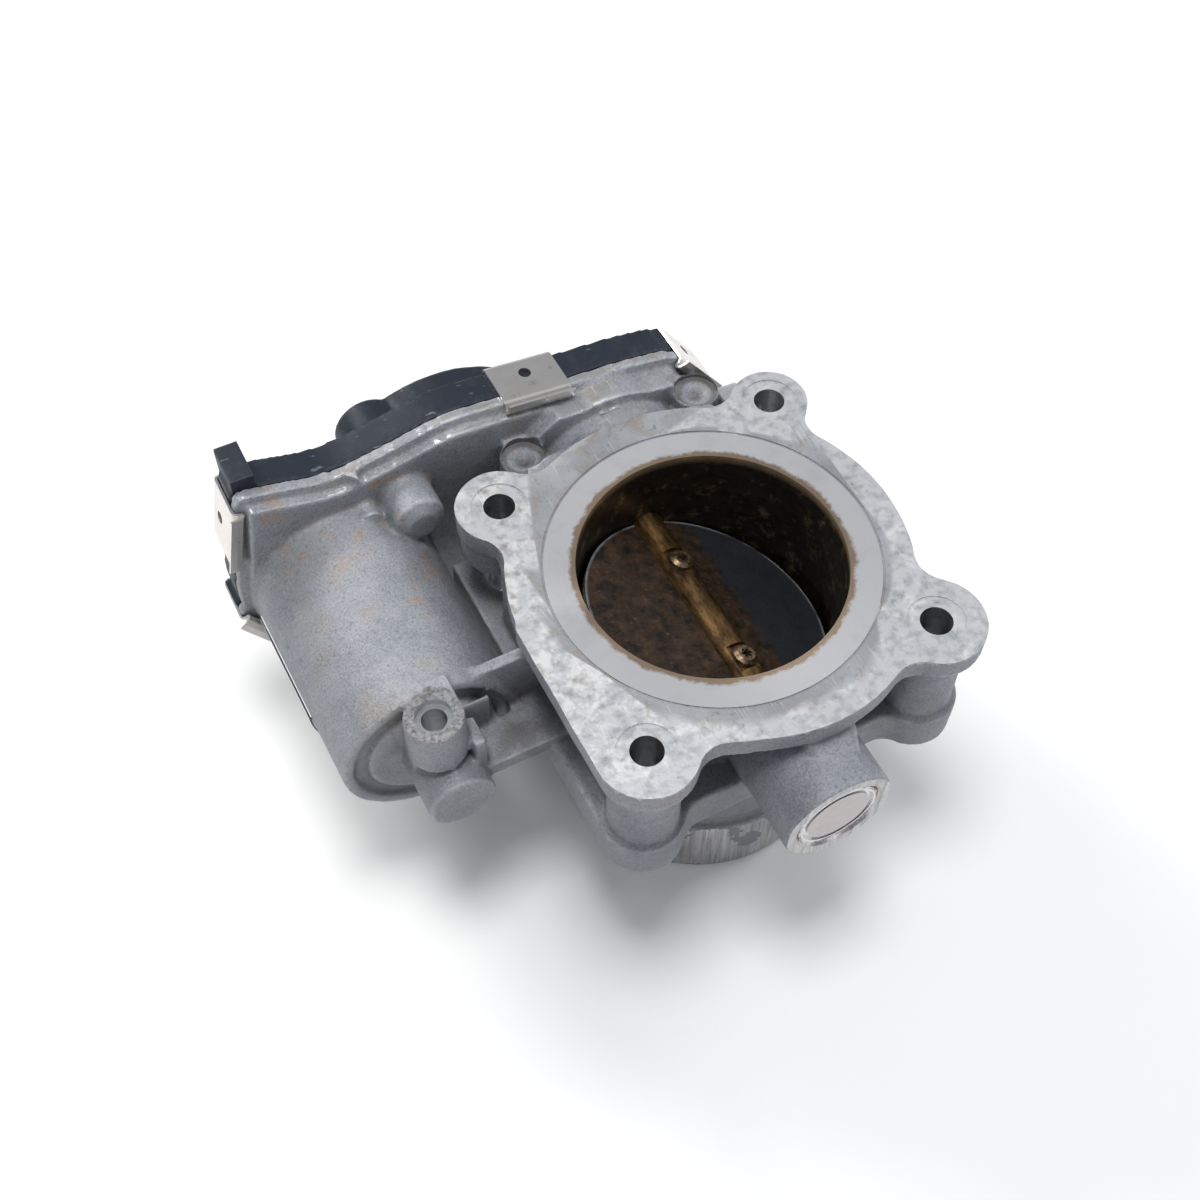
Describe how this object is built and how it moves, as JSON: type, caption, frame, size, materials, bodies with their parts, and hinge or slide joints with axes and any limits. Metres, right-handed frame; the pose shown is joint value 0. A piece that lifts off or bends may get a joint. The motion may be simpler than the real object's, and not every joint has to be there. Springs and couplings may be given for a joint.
{
  "type": "electronic throttle body",
  "caption": "Electronic throttle body: cast housing with a round bore and bolted flange, butterfly plate on a cross shaft, geared motor drive under a clipped side cover.",
  "frame": {"origin": "centre of the air bore on the manifold face", "axes": "+Z out of the manifold face along the air bore, +Y along the throttle shaft towards the gear case, -X towards the motor"},
  "size_m": [0.141, 0.1362, 0.0915],
  "materials": {
    "cast_body": "die-cast, shot-blasted, machined on faces and bore",
    "cover_plastic": "glass-filled moulding",
    "rubber_black": "soft seal",
    "clip_steel": "bent spring strip",
    "contact_brass": "stamped strip",
    "board_green": "lacquered board",
    "chip_black": "moulded package",
    "screw_steel": "zinc plated",
    "motor_steel": "deep-drawn",
    "magnet_grey": "sintered",
    "cap_plastic": "moulding",
    "brush_carbon": "pressed carbon",
    "bush_bronze": "sintered bronze",
    "bearing_steel": "ground and polished",
    "plug_steel": "pressed",
    "label_white": "blank adhesive label",
    "spring_steel": "coiled wire",
    "shaft_steel": "ground, varnish stained",
    "plate_metal": "rolled plate with soot",
    "plate_screw_steel": "blackened",
    "gear_plastic": "natural moulding",
    "lamination": "stacked sheets",
    "copper_wire": "enamelled wire"
  },
  "bodies": {
    "housing": {"throttle_housing": "cast_body", "gear_cover": "cover_plastic", "cover_gasket": "rubber_black", "cover_clips": "clip_steel", "connector_terminals": "contact_brass", "sensor_board": "board_green", "sensor_chips": "chip_black", "board_screws": "screw_steel", "motor_can": "motor_steel", "motor_magnets": "magnet_grey", "motor_end_cap": "cap_plastic", "motor_brushes": "brush_carbon", "motor_contacts": "contact_brass", "motor_screws": "screw_steel", "motor_wave_washer": "spring_steel", "motor_bushes": "bush_bronze", "intermediate_pin": "bearing_steel", "bearing_outer_race": "bearing_steel", "bearing_balls": "bearing_steel", "bearing_cage": "bush_bronze", "bearing_circlip": "spring_steel", "needle_cup": "bearing_steel", "needle_rollers": "bearing_steel", "shaft_seals": "rubber_black", "end_plug": "plug_steel", "stop_screw": "screw_steel", "motor_label": "label_white", "return_spring": "spring_steel"},
    "throttle": {"throttle_shaft": "shaft_steel", "throttle_plate": "plate_metal", "plate_screws": "plate_screw_steel", "sector_gear": "gear_plastic", "sector_insert": "screw_steel", "sensor_magnet": "magnet_grey", "bearing_inner_race": "bearing_steel"},
    "intermediate": {"intermediate_gear": "gear_plastic"},
    "rotor": {"motor_shaft": "bearing_steel", "rotor_core": "lamination", "rotor_windings": "copper_wire", "commutator": "copper_wire", "motor_pinion": "contact_brass"}
  },
  "joints": [
    {"name": "throttle_turn", "type": "hinge", "parent": "housing", "child": "throttle", "pos_m": [0, 0, -0.0215], "axis": [0, 1, 0], "range_deg": [-15, 64], "stiffness_Nm_per_rad": 0.35, "deforming": ["return_spring"]},
    {"name": "intermediate_turn", "type": "hinge", "parent": "housing", "child": "intermediate", "pos_m": [-0.03349, 0.06, -0.03166], "axis": [0, 1, 0], "range_deg": [-123, 29]},
    {"name": "rotor_turn", "type": "hinge", "parent": "housing", "child": "rotor", "pos_m": [-0.0681, 0.06, -0.028], "axis": [0, 1, 0], "range_deg": [-139, 590]}
  ],
  "couplings": [
    {"joint": "intermediate_turn", "follows": "throttle_turn", "ratio": -1.9167},
    {"joint": "rotor_turn", "follows": "throttle_turn", "ratio": 9.2}
  ]
}
